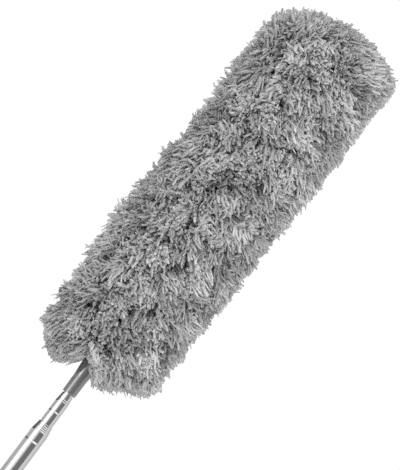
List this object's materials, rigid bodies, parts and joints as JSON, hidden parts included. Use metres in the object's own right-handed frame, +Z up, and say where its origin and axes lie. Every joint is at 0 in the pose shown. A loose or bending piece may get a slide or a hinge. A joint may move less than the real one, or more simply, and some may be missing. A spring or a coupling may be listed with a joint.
{
  "type": "microfiber duster",
  "caption": "Telescopic duster: a long round microfibre head on a tapered collar, a three-tube steel pole that slides out, a hand grip and a hanging tab.",
  "frame": {"origin": "on the pole's axis at the middle of the hand grip, where a hand or a gripper holds the duster", "axes": "+Z runs up the pole to the tip of the head, X is the direction in which the head bends over, and Y is across the flat hanging tab"},
  "size_m": [0.1227, 0.1221, 0.8742],
  "materials": {
    "pole_steel": "polished stainless steel tube",
    "pin_steel": "plain steel pin",
    "spring_steel": "rolled spring strip",
    "wire_steel": "galvanised annealed wire",
    "insert_brass": "turned brass",
    "collar_plastic": "semi-gloss moulded grey plastic",
    "grip_plastic": "fine matt moulded dark grey plastic",
    "bush_plastic": "white acetal",
    "core_plastic": "natural polypropylene",
    "hose_plastic": "soft plastic hose",
    "band_rubber": "covered elastic",
    "pile_microfibre": "cut microfibre tufts, mid grey"
  },
  "bodies": {
    "handle": {"outer_tube": "pole_steel", "outer_neck_bush": "bush_plastic", "hand_grip": "grip_plastic", "hang_cap": "grip_plastic", "cap_rivet": "pin_steel"},
    "middle_stage": {"middle_tube": "pole_steel", "middle_neck_bush": "bush_plastic", "middle_slide_bush": "bush_plastic", "middle_friction_spring": "spring_steel"},
    "tip_stage": {"tip_tube": "pole_steel", "tip_slide_bush": "bush_plastic", "tip_friction_spring": "spring_steel", "tip_plug": "bush_plastic", "plug_pin": "pin_steel"},
    "head_base": {"head_collar": "collar_plastic", "thread_insert": "insert_brass", "core_wire_lower": "wire_steel", "neck_hose": "hose_plastic", "hem_band": "band_rubber", "pile_lower": "pile_microfibre"},
    "head_upper": {"core_wire_upper": "wire_steel", "core_tube": "core_plastic", "core_cap": "core_plastic", "pile_upper": "pile_microfibre"}
  },
  "joints": [
    {"name": "middle_slide", "type": "slide", "parent": "handle", "child": "middle_stage", "axis": [0, 0, 1], "range_m": [0, 0.329]},
    {"name": "tip_slide", "type": "slide", "parent": "middle_stage", "child": "tip_stage", "axis": [0, 0, 1], "range_m": [0, 0.325]},
    {"name": "head_unscrew", "type": "hinge", "parent": "tip_stage", "child": "head_base", "pos_m": [0, 0, 0.3834], "axis": [0, 0, 1], "range_deg": [0, 1080]},
    {"name": "head_bend", "type": "hinge", "parent": "head_base", "child": "head_upper", "pos_m": [0, 0, 0.4834], "axis": [0, 1, 0], "range_deg": [-60, 60], "deforming": ["core_wire_lower", "neck_hose", "pile_lower"]}
  ]
}
